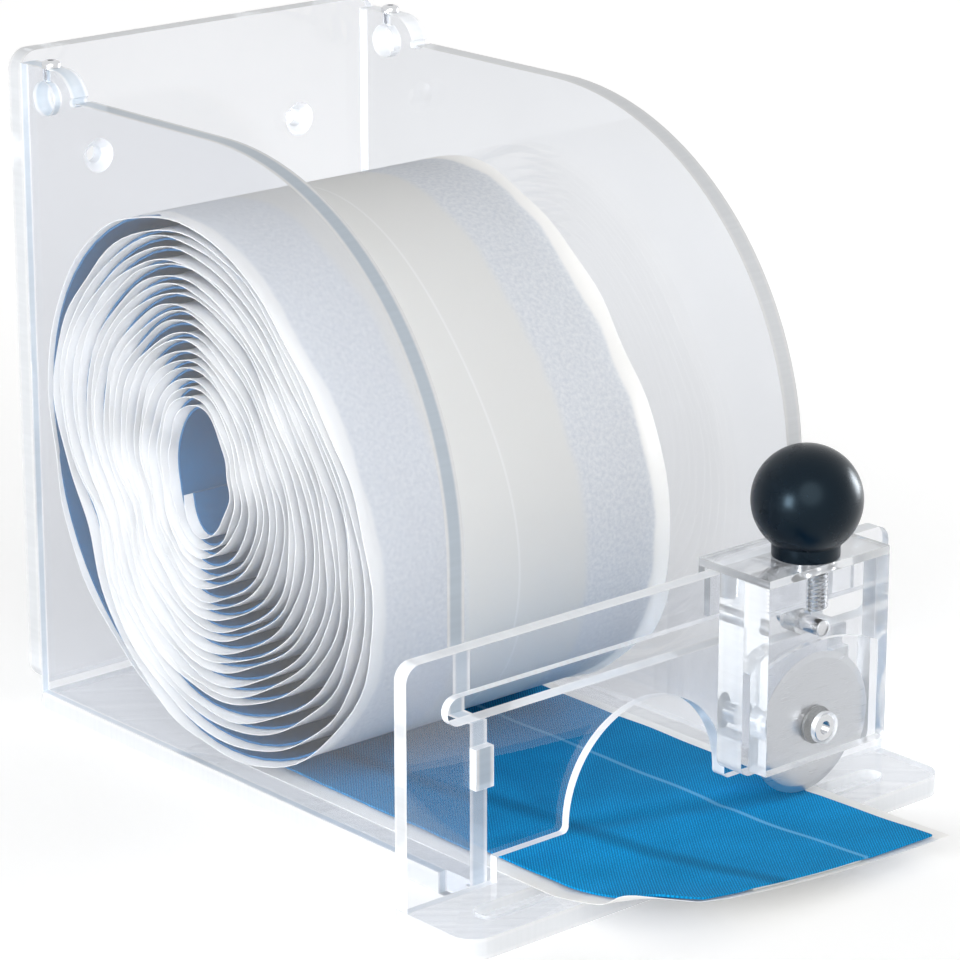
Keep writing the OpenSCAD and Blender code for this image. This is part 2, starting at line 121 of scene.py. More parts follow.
def chain(tree, kind, **given):
    """Adds a node: in0, in1... fill its inputs by place, linked or plain, and the rest are settings."""
    node = tree.nodes.new(kind)
    places = {key: value for key, value in given.items() if key[:2] == "in" and key[2:].isdigit()}
    for key, value in given.items():
        if key not in places:
            setattr(node, key, value)
    for key, value in places.items():
        socket = node.inputs[int(key[2:])]
        if isinstance(value, bpy.types.NodeSocket):
            tree.links.new(value, socket)
        else:
            socket.default_value = value
    return node


def blend(tree, amount, first, second):
    """A colour between two others."""
    return chain(tree, "ShaderNodeMix", data_type="RGBA", in0=amount, in6=first, in7=second).outputs[2]


def scaled(tree, colour, factor):
    """A colour made lighter or darker."""
    return chain(tree, "ShaderNodeVectorMath", operation="SCALE", in0=colour, in3=factor).outputs[0]


def soft_range(tree, value, low, high, start=0.0, end=1.0):
    """Goes from start to end, with soft ends, while a value goes from low to high."""
    node = chain(tree, "ShaderNodeMapRange", interpolation_type="SMOOTHSTEP",
                 in0=value, in1=low, in2=high, in3=start, in4=end)
    return node.outputs[0]


def looked_at(tree):
    """1 for rays that look: from the camera, mirrored in a surface, or through a clear one."""
    path = tree.nodes.new("ShaderNodeLightPath")
    rays = chain(tree, "ShaderNodeMath", operation="MAXIMUM",
                 in0=path.outputs["Is Camera Ray"], in1=path.outputs["Is Glossy Ray"])
    rays = chain(tree, "ShaderNodeMath", operation="MAXIMUM",
                 in0=rays.outputs[0], in1=path.outputs["Is Transmission Ray"])
    return rays.outputs[0]


LIGHT_LEVEL, SEEN_LEVEL = 0.5, 1.0
CLEAR_BOUNCES, CLOTH_BOUNCES = 24, 8

tree = world.node_tree
level = chain(tree, "ShaderNodeMapRange", in0=looked_at(tree), in3=LIGHT_LEVEL, in4=SEEN_LEVEL)
tree.links.new(level.outputs[0], sky.inputs["Strength"])
scene.cycles.max_bounces = CLEAR_BOUNCES
scene.cycles.transmission_bounces = CLEAR_BOUNCES
scene.cycles.transparent_max_bounces = CLEAR_BOUNCES
scene.cycles.diffuse_bounces = CLOTH_BOUNCES
print("world strength", LIGHT_LEVEL, "as light,", SEEN_LEVEL, "where it is seen")

# %% Lamps


def lamp(name, kind, place, aim, energy, colour=(1, 1, 1), **shape):
    """A lamp at a place in the frame, turned towards aim."""
    bpy.ops.object.light_add(type=kind, location=place)
    made = bpy.context.object
    made.name = name
    made.data.energy = energy
    made.data.color = colour
    for key, value in shape.items():
        setattr(made.data, key, value)
    made.rotation_euler = (Vector(aim) - Vector(place)).to_track_quat("-Z", "Y").to_euler()
    return made


LAMP_AIM = (0, 0, 0.07)
SUN_COLOUR, BOX_COLOUR = (1, 0.98, 0.94), (0.97, 0.985, 1)
BOX_HEIGHT = 0.28

lamp("front sun", "SUN", (-0.7, -0.9, 0.7), LAMP_AIM, 1.14, SUN_COLOUR, angle=math.radians(46))
for side, place, power, width in [("left", (-0.76, -0.16, 0.2), 3.3, 0.22),
                                  ("right", (0.85, -0.14, 0.15), 3.6, 0.26)]:
    lamp(side + " box", "AREA", place, LAMP_AIM, power, BOX_COLOUR,
         shape="RECTANGLE", size=width, size_y=BOX_HEIGHT)

# %% Floor
bpy.ops.object.select_all(action="DESELECT")
bpy.ops.mesh.primitive_grid_add(x_subdivisions=8, y_subdivisions=8, size=12, location=(0, 0, 0))
floor = bpy.context.object
floor.name = "floor"


def new_material(name):
    """A node material with one main shader, and its tree."""
    made = bpy.data.materials.new(name)
    made.use_nodes = True
    return made, made.node_tree, made.node_tree.nodes["Principled BSDF"]


def dress(obj, material):
    """Gives a piece one material in its first slot."""
    if obj.data.materials:
        obj.data.materials[0] = material
    else:
        obj.data.materials.append(material)


NEAR_R, FAR_R, NEAR_GLOW, FAR_GLOW = 0.13, 0.7, 0.15, 0.32

paper_floor, tree, shader = new_material("white floor sheet")
shader.inputs["Base Color"].default_value = (0.97, 0.97, 0.97, 1)
shader.inputs["Roughness"].default_value = 0.9
shader.inputs["Specular IOR Level"].default_value = 0.0
ground = tree.nodes.new("ShaderNodeTexCoord")
away = chain(tree, "ShaderNodeVectorMath", operation="LENGTH", in0=ground.outputs["Object"])
even = soft_range(tree, away.outputs["Value"], NEAR_R, FAR_R, NEAR_GLOW, FAR_GLOW)
glow = chain(tree, "ShaderNodeMath", operation="MULTIPLY", in0=looked_at(tree), in1=even)
shader.inputs["Emission Color"].default_value = (1, 1, 1, 1)
tree.links.new(glow.outputs[0], shader.inputs["Emission Strength"])
dress(floor, paper_floor)
print("floor at height", floor.location.z)

# %% [markdown]
# ## Clear sheet
# The tray and the carriage are cast acrylic, cut by a saw or a laser and cemented. Acrylic bends
# light a little less than glass. Seen square on it takes a slight grey, while its cut edges
# collect light and look white. The same shader serves both: the colour is chosen by the direction
# of the face, and the cut edges also keep fine saw lines and painted highlights along both corners.
# Lamps shine through it, because a solid shader would put the whole roll in a hard shadow.

# %% Clear sheet material
ACRYLIC_IOR, ACRYLIC_SHINE = 1.49, 0.2
EDGE_TINT, SHADE_TINT = (0.97, 0.985, 1, 1), (0.93, 0.94, 0.95, 1)
SIDE_HALF = 2.5 * MM


def clear_sheet(name, node, across, face_tint, edge_highlight, edge_dark, frost, saw_scale):
    """Acrylic of one CAD node that lies square to the direction across, with frosted cut edges."""
    made, tree, shader = new_material(name)
    shader.inputs["Transmission Weight"].default_value = 1.0
    shader.inputs["IOR"].default_value = ACRYLIC_IOR
    shader.inputs["Specular IOR Level"].default_value = ACRYLIC_SHINE
    shader.inputs["Roughness"].default_value = 0.0
    coord = tree.nodes.new("ShaderNodeTexCoord")
    turn_to = chain(tree, "ShaderNodeVectorMath", operation="DOT_PRODUCT",
                    in0=coord.outputs["Normal"], in1=across)
    square = chain(tree, "ShaderNodeMath", operation="ABSOLUTE", in0=turn_to.outputs["Value"])
    edge = soft_range(tree, square.outputs[0], 0.6, 0.95, 1.0, 0.0)
    haze = chain(tree, "ShaderNodeTexNoise", in0=coord.outputs["Object"], in2=35.0, in3=4.0)
    haze = chain(tree, "ShaderNodeMapRange", in0=haze.outputs[0], in1=0.3, in2=0.7, in3=0.98, in4=1.0)
    tint = scaled(tree, blend(tree, edge, face_tint, EDGE_TINT), haze.outputs[0])
    tree.links.new(tint, shader.inputs["Base Color"])
    # Cut edges: painted highlights as white lines along both corners, a cooler band between them, and fine
    # saw lines
    low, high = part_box(node)
    middle, half = (low + high) / 2 @ Vector(across), (high - low) @ Vector(across) / 2
    if node.startswith("side_panel"):
        half = SIDE_HALF
    place = chain(tree, "ShaderNodeVectorMath", operation="DOT_PRODUCT",
                  in0=coord.outputs["Object"], in1=across)
    place = chain(tree, "ShaderNodeMath", operation="SUBTRACT", in0=place.outputs["Value"], in1=middle)
    place = chain(tree, "ShaderNodeMath", operation="ABSOLUTE", in0=place.outputs[0])
    # Painted highlight: near both corners of a cut edge the colour turns white, where a bevel would catch
    # light
    corner = soft_range(tree, place.outputs[0], half * 0.5, half * 0.82)
    stretch = chain(tree, "ShaderNodeMapping", in0=coord.outputs["Object"], in3=saw_scale)
    lines = chain(tree, "ShaderNodeTexNoise", in0=stretch.outputs[0], in2=1.0, in3=2.0)
    streak = chain(tree, "ShaderNodeMapRange", in0=lines.outputs[0],
                   in1=0.3, in2=0.7, in3=0.97, in4=1.02)
    cut = scaled(tree, blend(tree, corner, edge_dark, edge_highlight), streak.outputs[0])
    sawn = chain(tree, "ShaderNodeBsdfPrincipled", in0=cut, in2=0.35)
    bump = chain(tree, "ShaderNodeBump", in0=0.15, in1=0.00003, in2=lines.outputs[0])
    tree.links.new(bump.outputs[0], sawn.inputs["Normal"])
    amount = chain(tree, "ShaderNodeMath", operation="MULTIPLY", in0=edge, in1=frost)
    sheet = chain(tree, "ShaderNodeMixShader", in0=amount.outputs[0],
                  in1=shader.outputs[0], in2=sawn.outputs[0])
    # Lamps shine through
    light = tree.nodes.new("ShaderNodeLightPath")
    through = chain(tree, "ShaderNodeBsdfTransparent", in0=SHADE_TINT)
    out = tree.nodes["Material Output"]
    mixed = chain(tree, "ShaderNodeMixShader", in0=light.outputs["Is Shadow Ray"],
                  in1=sheet.outputs[0], in2=through.outputs[0])
    tree.links.new(mixed.outputs[0], out.inputs["Surface"])
    return made


# Each sheet's grey is partly the acrylic's own and partly painted light and shade: darker for the far side
# panel and the base, lighter for the carriage
FACE, BLOCK = (0.86, 0.872, 0.9, 1), (0.97, 0.975, 0.985, 1)
FAR, BASE = (0.79, 0.805, 0.835, 1), (0.79, 0.805, 0.835, 1)
PLATE = (0.9, 0.91, 0.935, 1)
# Cut-edge colours: the white one is a painted highlight along the corners
CORNER_HIGHLIGHT, PALE_CUT, COOL_CUT = (0.95, 0.96, 0.98, 1), (0.86, 0.885, 0.92, 1), (0.60, 0.68, 0.77, 1)
X, Y, Z = (1, 0, 0), (0, 1, 0), (0, 0, 1)
saw = {X: (40, 900, 900), Y: (900, 40, 900), Z: (900, 900, 40)}
for node, across, face, band, frost in [
    ("base_plate", Z, BASE, PALE_CUT, 0.5), ("back_panel", Y, FACE, PALE_CUT, 0.7),
    ("front_plate", Y, PLATE, PALE_CUT, 0.7), ("side_panel_left", X, FACE, COOL_CUT, 0.7),
    ("side_panel_right", X, FAR, PALE_CUT, 0.7), ("cutter_body", Y, BLOCK, PALE_CUT, 0.4),
    ("cutter_cover", Y, BLOCK, PALE_CUT, 0.4), ("saddle_top", Z, BLOCK, PALE_CUT, 0.3),
    ("saddle_lip", Y, BLOCK, PALE_CUT, 0.3),
]:
    sheet = clear_sheet("clear " + node, node, across, face, CORNER_HIGHLIGHT, band, frost, saw[across])
    dress(nodes[node], sheet)
    print("clear sheet on", node)

# %% [markdown]
# ## Steel, nylon, brass and black plastic
# The blade is stamped from strip that was brushed along its length, so its grain runs straight
# across the disc. Pins and screws are turned, and their fine rings go round. Each is a metal
# shader whose roughness and bump come from noise that is stretched along the grain.

# %% Metal materials


def brushed(name, colour, rough, grain):
    """Metal with a grain; the pattern is stretched along the axis with the small number."""
    made, tree, shader = new_material(name)
    shader.inputs["Metallic"].default_value = 1.0
    coord = tree.nodes.new("ShaderNodeTexCoord")
    stretch = chain(tree, "ShaderNodeMapping", in0=coord.outputs["Object"], in3=grain)
    noise = chain(tree, "ShaderNodeTexNoise", in0=stretch.outputs[0], in2=1.0, in3=3.0)
    low, high = [c * 0.86 for c in colour], colour
    shade = blend(tree, noise.outputs[0], (*low, 1), (*high, 1))
    tree.links.new(shade, shader.inputs["Base Color"])
    satin = chain(tree, "ShaderNodeMapRange", in0=noise.outputs[0],
                  in1=0.3, in2=0.7, in3=rough * 0.75, in4=rough * 1.3)
    tree.links.new(satin.outputs[0], shader.inputs["Roughness"])
    bump = chain(tree, "ShaderNodeBump", in0=0.25, in1=0.00003, in2=noise.outputs[0])
    tree.links.new(bump.outputs[0], shader.inputs["Normal"])
    return made


blade_steel = brushed("brushed blade steel", (0.66, 0.675, 0.7), 0.34, (160, 160, 6000))
pin_steel = brushed("turned pin steel", (0.74, 0.75, 0.77), 0.16, (700, 4000, 700))
screw_steel = brushed("bright screw steel", (0.72, 0.73, 0.75), 0.2, (700, 700, 4000))
brass = brushed("turned brass", (0.78, 0.6, 0.26), 0.25, (700, 700, 4000))
dress(nodes["blade"], blade_steel)
dress(nodes["knob_insert"], brass)
print("metal on blade and knob_insert")

# %% Nylon washers and guide bush
nylon, tree, shader = new_material("milky nylon")
coord = tree.nodes.new("ShaderNodeTexCoord")
cloud = chain(tree, "ShaderNodeTexNoise", in0=coord.outputs["Object"], in2=900.0, in3=3.0)
milk = blend(tree, cloud.outputs[0], (0.92, 0.93, 0.94, 1), (0.97, 0.975, 0.98, 1))
tree.links.new(milk, shader.inputs["Base Color"])
shader.inputs["Roughness"].default_value = 0.2
shader.inputs["Transmission Weight"].default_value = 0.85
shader.inputs["IOR"].default_value = 1.53
dress(nodes["blade_washers"], nylon)
dress(nodes["guide_bush"], nylon)
print("nylon on blade_washers and guide_bush")

# %% [markdown]
# ## Working by hand in edit mode
# The small pieces are modelled as by hand: a primitive at its size and place, then extrude, inset
# and bevel on faces that are picked by where they are. Three short helpers keep the selection
# clean, because an operator acts on everything that is selected.

# %% Helpers for modelling


def pick(obj):
    """Selects one object alone and makes it active."""
    if bpy.context.object and bpy.context.object.mode != "OBJECT":
        bpy.ops.object.mode_set(mode="OBJECT")
    bpy.ops.object.select_all(action="DESELECT")
    obj.select_set(True)
    bpy.context.view_layer.objects.active = obj


def choose(obj, kind, test):
    """In edit mode, selects the vertices, edges or faces that pass a test."""
    bpy.ops.mesh.select_mode(type={"verts": "VERT", "edges": "EDGE", "faces": "FACE"}[kind])
    bpy.ops.mesh.select_all(action="DESELECT")
    mesh = bmesh.from_edit_mesh(obj.data)
    for element in getattr(mesh, kind):
        if test(element):
            element.select_set(True)
    mesh.select_flush_mode()
    bmesh.update_edit_mesh(obj.data)


def close_piece(obj, name, body, slot, material, *stands_for):
    """Merges, smooths, names and dresses a finished piece, ties it to its body and hides the CAD nodes it
    stands for.
    """
    pick(obj)
    bpy.ops.object.mode_set(mode="EDIT")
    bpy.ops.mesh.select_all(action="SELECT")
    bpy.ops.mesh.remove_doubles(threshold=0.000002)
    bpy.ops.mesh.normals_make_consistent(inside=False)
    bpy.ops.object.mode_set(mode="OBJECT")
    bpy.ops.object.transform_apply(location=True, rotation=True, scale=True)
    bpy.ops.object.shade_smooth_by_angle(angle=math.radians(35))
    obj.name = obj.data.name = name
    dress(obj, material)
    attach(obj, body)
    if stands_for:
        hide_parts(*stands_for)
    size = [round(d / MM, 2) for d in obj.dimensions]
    print(name, "size in mm", size, "faces", len(obj.data.polygons), "rides", body)
    return obj


# %% [markdown]
# ## Black ball knob
# The knob is a moulded ball with a short neck, on a stud. A ball could be turned from a profile,
# but a sphere with its lower cap taken off and the open rim extruded to a neck is quicker and
# keeps an even mesh. The black plastic is satin, with a faint orange peel from the mould.

# %% Ball knob
ball_low, ball_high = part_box("ball_knob")
ball_r = (ball_high.x - ball_low.x) / 2
ball_mid = Vector(((ball_low.x + ball_high.x) / 2, (ball_low.y + ball_high.y) / 2, ball_high.z - ball_r))
neck_r, neck_bevel = 8.0 * MM, 0.4 * MM

bpy.ops.object.select_all(action="DESELECT")
bpy.ops.mesh.primitive_uv_sphere_add(segments=96, ring_count=60, radius=ball_r, location=ball_mid)
ball = bpy.context.object
bpy.ops.object.mode_set(mode="EDIT")
cap_z = -math.sqrt(ball_r ** 2 - neck_r ** 2) - 0.0001
choose(ball, "verts", lambda v: v.co.z < cap_z)
bpy.ops.mesh.delete(type="VERT")
choose(ball, "edges", lambda e: e.is_boundary)
bpy.ops.mesh.extrude_region_move()
rim_r = max(math.hypot(v.co.x, v.co.y) for v in bmesh.from_edit_mesh(ball.data).verts if v.select)
bpy.ops.transform.resize(value=(neck_r / rim_r, neck_r / rim_r, 1))
rim_z = min(v.co.z for v in bmesh.from_edit_mesh(ball.data).verts)
foot = ball_low.z - ball_mid.z - rim_z
bpy.ops.mesh.extrude_region_move(TRANSFORM_OT_translate={"value": (0, 0, foot)})
bpy.ops.mesh.edge_face_add()
bpy.ops.mesh.inset(thickness=neck_bevel)
choose(ball, "edges", lambda e: all(abs(v.co.z - (ball_low.z - ball_mid.z)) < 1e-6
                                    and math.hypot(v.co.x, v.co.y) > neck_r - 0.0002 for v in e.verts))
bpy.ops.mesh.bevel(offset=neck_bevel, segments=3, affect="EDGES")
bpy.ops.object.mode_set(mode="OBJECT")

# %% Black plastic
black, tree, shader = new_material("satin black plastic")
coord = tree.nodes.new("ShaderNodeTexCoord")
peel = chain(tree, "ShaderNodeTexNoise", in0=coord.outputs["Object"], in2=1400.0, in3=3.0)
wear = chain(tree, "ShaderNodeTexNoise", in0=coord.outputs["Object"], in2=160.0, in3=4.0)
shade = blend(tree, wear.outputs[0], (0.0005, 0.002, 0.005, 1), (0.001, 0.004, 0.008, 1))
tree.links.new(shade, shader.inputs["Base Color"])
satin = chain(tree, "ShaderNodeMapRange", in0=wear.outputs[0], in1=0.3, in2=0.7, in3=0.24, in4=0.32)
tree.links.new(satin.outputs[0], shader.inputs["Roughness"])
bump = chain(tree, "ShaderNodeBump", in0=0.5, in1=0.00008, in2=peel.outputs[0])
tree.links.new(bump.outputs[0], shader.inputs["Normal"])
shader.inputs["Specular IOR Level"].default_value = 0.27
# Painted reflection colour: the bluish specular tint gives the ball's highlights a blue that the lamps do
# not have
shader.inputs["Specular Tint"].default_value = (0.55, 0.8, 1, 1)
close_piece(ball, "knob_ball", "carriage", "black_ball", black, "ball_knob")

# %% [markdown]
# ## Threads
# A screw thread this small reads as rings, and rings are easy to draw: a circle is extruded up by
# half a pitch at a time, and each second ring is drawn in to the root. The same helper makes the
# knob's stud and the two screws in the ears.

# %% Threaded rod helper


def threaded_rod(low, length, radius, pitch, root):
    """A round rod upwards from low, with thread rings between the crest and the root radius."""
    bpy.ops.object.select_all(action="DESELECT")
    bpy.ops.mesh.primitive_circle_add(vertices=40, radius=radius * root, fill_type="NGON", location=low)
    rod = bpy.context.object
    bpy.ops.object.mode_set(mode="EDIT")
    steps = max(2, 2 * round(length / pitch))
    for step in range(steps):
        bpy.ops.mesh.extrude_region_move(TRANSFORM_OT_translate={"value": (0, 0, length / steps)})
        grow = 1 / root if step % 2 == 0 else root
        bpy.ops.transform.resize(value=(grow, grow, 1), center_override=low)
    return rod


stud_low, stud_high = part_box("knob_stud")
stud_mid = ((stud_low.x + stud_high.x) / 2, (stud_low.y + stud_high.y) / 2)
stud_r = (stud_high.x - stud_low.x) / 2
crest_r, stud_pitch, stud_root = stud_r + 0.3 * MM, 1.0 * MM, 0.92
stud_l = stud_high.z - stud_low.z
stud = threaded_rod(Vector((*stud_mid, stud_low.z)), stud_l, crest_r, stud_pitch, stud_root)
close_piece(stud, "knob_thread", "carriage", "steel", screw_steel, "knob_stud")

# %% [markdown]
# The washer round the stud is a punched ring with softened edges. It starts as a cylinder, its two
# flat ends are inset and bridged into a bore, and its rims are bevelled.

# %% Washer under the knob
ring_low, ring_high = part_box("knob_washer")
ring_mid = (ring_low + ring_high) / 2
ring_r = (ring_high.x - ring_low.x) / 2 + 0.00006
ring_h = ring_high.z - ring_low.z
bpy.ops.object.select_all(action="DESELECT")
bpy.ops.mesh.primitive_cylinder_add(vertices=72, radius=ring_r, depth=ring_h, location=ring_mid)
ring = bpy.context.object
bpy.ops.object.mode_set(mode="EDIT")
choose(ring, "faces", lambda f: abs(f.normal.z) > 0.9)
bpy.ops.mesh.inset(thickness=ring_r - stud_r - 0.0001)
bpy.ops.mesh.bridge_edge_loops()
choose(ring, "edges", lambda e: all(math.hypot(v.co.x, v.co.y) > ring_r - 1e-6 for v in e.verts)
       and abs(e.verts[0].co.z - e.verts[1].co.z) < 1e-7)
bpy.ops.mesh.bevel(offset=0.0003, segments=3, affect="EDGES")
bpy.ops.object.mode_set(mode="OBJECT")
close_piece(ring, "knob_seat_ring", "carriage", "steel", screw_steel, "knob_washer")

# %% [markdown]
# ## Guide pin and blade axle
# The pin that runs in the plate's slot is a dowel with rounded ends. The axle is a shoulder screw
# whose round head sits in the cover, with a drive recess. Both lie along Y: a cylinder is added
# tipped over, and shaped in its own upright frame. They are a hair larger than their holes, so
# that no film of air shows between steel and plastic.

# %% Guide pin
pin_low, pin_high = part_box("guide_pin")
pin_mid = (pin_low + pin_high) / 2
pin_r = (pin_high.x - pin_low.x) / 2 + 0.00003
pin_l = pin_high.y - pin_low.y + 0.00006


def lying_cylinder(middle, radius, length):
    """A cylinder along Y, open for edit mode; its own +Z end points to the front."""
    bpy.ops.object.select_all(action="DESELECT")
    bpy.ops.mesh.primitive_cylinder_add(vertices=64, radius=radius, depth=length, location=middle,
                                        rotation=(math.radians(90), 0, 0))
    made = bpy.context.object
    bpy.ops.object.mode_set(mode="EDIT")
    return made


pin = lying_cylinder(pin_mid, pin_r, pin_l)
choose(pin, "edges", lambda e: abs(e.verts[0].co.z - e.verts[1].co.z) < 1e-7)
bpy.ops.mesh.bevel(offset=0.0005, segments=3, affect="EDGES")
bpy.ops.object.mode_set(mode="OBJECT")
close_piece(pin, "guide_rod", "carriage", "steel", pin_steel, "guide_pin")

# %% Blade axle
axle_low, axle_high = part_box("blade_axle")
head_r = (axle_high.x - axle_low.x) / 2
shank_r, head_l = 2.53 * MM, 2.2 * MM
recess_r, recess_depth = 1.6 * MM, 1.1 * MM
axle_mid = (axle_low + axle_high) / 2
head_mid = Vector((axle_mid.x, axle_low.y + head_l / 2, axle_mid.z))
axle = lying_cylinder(head_mid, head_r, head_l)
choose(axle, "faces", lambda f: f.normal.z < -0.9)
bpy.ops.mesh.inset(thickness=head_r - shank_r)
shank_l = axle_high.y - axle_low.y - head_l
bpy.ops.mesh.extrude_region_move(TRANSFORM_OT_translate={"value": (0, shank_l, 0)})
choose(axle, "faces", lambda f: f.normal.z > 0.9)
bpy.ops.mesh.inset(thickness=head_r - recess_r)
bpy.ops.mesh.extrude_region_move(TRANSFORM_OT_translate={"value": (0, recess_depth, 0)})
choose(axle, "edges", lambda e: all(v.co.z > head_l / 2 - 1e-6
                                    and math.hypot(v.co.x, v.co.y) > head_r - 1e-5 for v in e.verts))
bpy.ops.mesh.bevel(offset=0.0006, segments=4, affect="EDGES")
bpy.ops.object.mode_set(mode="OBJECT")
close_piece(axle, "axle_screw", "carriage", "steel", pin_steel, "blade_axle")

# %% [markdown]
# ## Screws in the ears
# Each ear at the back has a round hole for a rod, and a small screw comes down on it from the top.
# The screw is the same threaded rod, and its top ring is extruded out into a pan head with a sunk
# middle for the driver. One is modelled, and the other is a copy with a mesh of its own.

# %% Ear screws
ear_low, ear_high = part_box("ear_screws")
ear_y = (ear_low.y + ear_high.y) / 2
ear_head_r = (ear_high.y - ear_low.y) / 2
ear_head_l, ear_r, ear_sink = 1.7 * MM, 1.25 * MM, 0.6 * MM
ear_x = ear_high.x - ear_head_r
ear_pitch, ear_root = 0.45 * MM, 0.86
ear_shank_l = ear_high.z - ear_low.z - ear_head_l
ear = threaded_rod(Vector((-ear_x, ear_y, ear_low.z)), ear_shank_l, ear_r, ear_pitch, ear_root)
here = Vector((-ear_x, ear_y, 0))
widen = ear_head_r / (ear_r * ear_root)
bpy.ops.transform.resize(value=(widen, widen, 1), center_override=here)
bpy.ops.mesh.extrude_region_move(TRANSFORM_OT_translate={"value": (0, 0, ear_head_l * 0.55)})
bpy.ops.mesh.extrude_region_move(TRANSFORM_OT_translate={"value": (0, 0, ear_head_l * 0.3)})
bpy.ops.transform.resize(value=(0.86, 0.86, 1), center_override=here)
bpy.ops.mesh.extrude_region_move(TRANSFORM_OT_translate={"value": (0, 0, ear_head_l * 0.15)})
bpy.ops.transform.resize(value=(0.72, 0.72, 1), center_override=here)
bpy.ops.mesh.inset(thickness=ear_sink)
bpy.ops.mesh.extrude_region_move(TRANSFORM_OT_translate={"value": (0, 0, -ear_sink)})
bpy.ops.object.mode_set(mode="OBJECT")
other = ear.copy()
other.data = ear.data.copy()
scene.collection.objects.link(other)
other.location.x += 2 * ear_x
close_piece(ear, "ear_screw_left", "tray", "steel", screw_steel, "ear_screws")
close_piece(other, "ear_screw_right", "tray", "steel", screw_steel, "ear_screws")

# %% [markdown]
# ## The tape's path
# The tape is one long web: it starts in the open core, winds outwards through twenty-one turns,
# leaves the roll at the bottom and runs out under the plate. It could be made as a stack of
# separate rings, but then the strip would not belong to the roll. Here the path is one line in a
# side view, from the core's end to the cut end, and the fabric and the paper are grids that are
# laid along it. The winding is the same as the CAD model's: an oval core that grows into a sagged
# outline. On top of that its turns bunch a little, so that they are unevenly spaced. The outermost
# turn hangs loose at the back, so the inner turns are drawn in there.

# %% Winding path
TURNS, LEAVE = 21, 262
ROLL_Y, ROLL_Z, STRIP_BACK = 98.8007, 64.6792, 89.8863
ROLL_X = -4.3
STRIP_OUT, CURL_Y, PAPER_W = 52.5, -17.0, 89.5
CORE_Y, CORE_Z, CORE_UP = 9.3, 15.0, 6.3
OUTER_R, SAG, SAG_DEG, LOBE, LOBE_DEG = 63.4, 5.1, 52, 1.9, 81
INNER_TAIL, TAIL_IN = 0.13, 4.0
# places where turns are drawn in: depth, direction and width in degrees
LOOSE = [(11.0, 338, 22), (3.4, 54, 24), (3.6, 298, 20)]
SECOND, HANG = [(2.6, 325, 36)], [(5.0, 242, 34)]


def smooth(x, low, high):
    """Goes from 0 to 1 between two values, with soft ends."""
    t = np.clip((x - low) / (high - low), 0, 1)
    return t * t * (3 - 2 * t)


def hills(angle, rows):
    """A sum of soft hills, each with a height, a direction and a width in degrees."""
    total = 0.0
    for height, middle, width in rows:
        away = (angle - middle + 180) % 360 - 180
        total = total + height * np.exp(-(away / width) ** 2)
    return total


def winding(per_turn):
    """Points (y, z) of the fabric's middle from the core out, and turns left to the outer end."""
    left = np.linspace(TURNS + INNER_TAIL, 0, round(per_turn * (TURNS + INNER_TAIL)) + 1)
    share = np.clip(1 - left / TURNS, 0, 1)
    angle = LEAVE + 360 * left
    a = np.radians(angle)
    core = 1 / np.sqrt((np.cos(a) / CORE_Y) ** 2 + (np.sin(a) / CORE_Z) ** 2)
    sag = SAG * np.cos(2 * np.radians(angle - SAG_DEG))
    outer = OUTER_R + sag + LOBE * np.cos(3 * np.radians(angle - LOBE_DEG))
    r = core * (1 - share) + outer * share
    r = r - TAIL_IN * smooth(left, TURNS, TURNS + INNER_TAIL)
    # bunching: slow waves from turn to turn that drift as they go round
    bunch = 0.38 * np.sin(2 * np.pi * left / 2.7 + 1.3 * np.sin(a + 0.6))
    bunch = bunch + 0.12 * np.sin(2 * np.pi * left / 4.3 + 2.0 * np.sin(2 * a + 1))
    r = r + bunch * smooth(left, 1.0, 3.0) * smooth(TURNS - left, 0.0, 3.0)
    loose = hills(angle, LOOSE) * smooth(left, 0.55, 1.0)
    second = hills(angle, SECOND) * smooth(left, 1.55, 2.0)
    hang = hills(angle, HANG) * smooth(left, 0.6, 6.0)
    r = r - share * (loose + second + hang)
    y = ROLL_Y + r * np.cos(a)
    z = ROLL_Z + r * np.sin(a) + CORE_UP * (1 - share)
    return np.stack([y, z], 1), left


def web_path(per_turn, strip_rows, front_y):
    """The whole path, its outward normals, turns left (0 in the strip) and length from the front."""
    roll, left = winding(per_turn)
    strip_y = np.linspace(STRIP_BACK, front_y, strip_rows + 1)[1:]
    strip = np.stack([strip_y, np.full(strip_rows, roll[-1, 1])], 1)
    line = np.concatenate([roll, strip])
    left = np.concatenate([left, np.zeros(strip_rows)])
    along = np.gradient(line, axis=0)
    out = np.stack([-along[:, 1], along[:, 0]], 1)
    out /= np.linalg.norm(out, axis=1)[:, None]
    run = np.concatenate([[0], np.cumsum(np.linalg.norm(np.diff(line, axis=0), axis=1))])
    return line, out, left, run[-1] - run


line, out, left, run = web_path(96, 60, -STRIP_OUT)
print("tape length in m", round(run[0] / 1000, 2), "lowest point", round(line[:, 1].min(), 2))

# %% [markdown]
# ## Laying a web along the path
# A flat grid is added as a primitive, with as many columns across and rows along as the web needs.
# Its rows are then moved onto the path, and each point is lifted off it by the ply's own distance
# and by small waves. The grid's own map is rewritten in millimetres, so that weave and bands have
# their real size. At last a Solidify modifier gives the sheet its thickness.

# %% Web helper
CURL_LEAST, CURL_SIDE, CURL_POWER = 1.0, 7.3, 1.35
TRIM_FROM, TRIM_SLOPE, TRIM_LENGTH = 33, 0.8, 22
WANDER = 0.55


def waves(run, seeds):
    """A sum of slow sine waves along the tape, about -1 to 1."""
    total = sum(np.sin(2 * np.pi * run / length + start) for length, start in seeds)
    return total / len(seeds)


def curl(x, y):
    """Rise of the free end in front of the blade, most at its left corner."""
    reach = np.clip(CURL_Y - y, 0, None) / (STRIP_OUT + CURL_Y)
    return (CURL_LEAST + CURL_SIDE * (0.5 - x / PAPER_W) ** 2) * reach ** CURL_POWER


